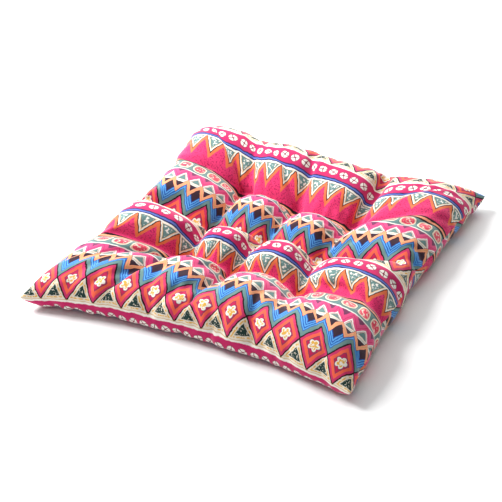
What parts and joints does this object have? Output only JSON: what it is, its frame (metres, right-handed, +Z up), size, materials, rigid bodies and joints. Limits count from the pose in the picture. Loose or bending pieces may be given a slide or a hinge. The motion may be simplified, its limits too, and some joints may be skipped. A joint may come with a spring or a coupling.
{
  "type": "tufted chair pad",
  "caption": "Square tufted seat cushion in band-printed cotton: plump puffs between pulled-down tufts, drawn-in sides and pointed corners.",
  "frame": {"origin": "on the floor, under the middle of the pad", "axes": "+Z up out of the top panel; the front edge, where the print starts, faces -Y; +X to the right along the printed bands"},
  "size_m": [0.3849, 0.3849, 0.062],
  "materials": {
    "printed_cotton": "matt plain-weave cotton with a printed pattern in bands"
  },
  "bodies": {
    "root": {"pad": "printed_cotton"}
  },
  "joints": []
}
